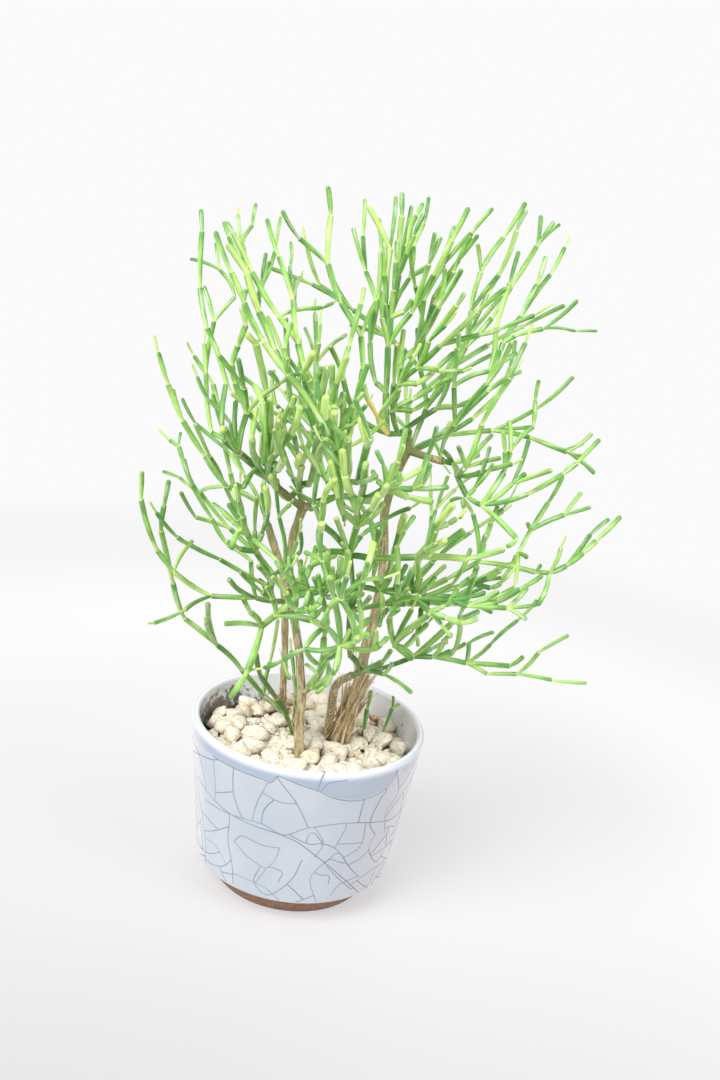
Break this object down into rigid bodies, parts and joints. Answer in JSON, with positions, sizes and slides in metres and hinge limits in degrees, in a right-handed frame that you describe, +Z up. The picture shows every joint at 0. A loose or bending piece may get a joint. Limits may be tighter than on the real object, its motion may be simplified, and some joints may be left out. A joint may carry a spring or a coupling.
{
  "type": "potted rhipsalis",
  "caption": "Upright bushy jointed cactus with slim club-shaped green segments on woody stems, in a flared crackle-glazed pot topped with pale pebbles.",
  "frame": {"origin": "middle of the pot's flat foot, on the surface it stands on", "axes": "+Z up, along the plant's height; the pictured side faces -Y"},
  "size_m": [0.2347, 0.2015, 0.3581],
  "materials": {
    "glaze": "gloss",
    "soil": "matte",
    "gravel": "matte",
    "bark": "matte",
    "green": "satin"
  },
  "bodies": {
    "root": {"pot": "glaze", "soil": "soil", "gravel": "gravel", "stem_left": "bark", "stem_slim": "bark", "stem_stout": "bark", "stem_bare": "bark", "spray_left": "green", "spray_low_left": "green", "spray_front": "green", "spray_low_centre": "green", "spray_slim": "green", "spray_crown_left": "green", "spray_centre": "green", "spray_crown": "green", "spray_top": "green", "spray_right": "green", "spray_low_right": "green", "spray_back_left": "green", "spray_back_low": "green", "spray_back_mid": "green", "spray_back_high": "green", "seedling_spike": "green", "seedling_fork": "green"}
  },
  "joints": []
}
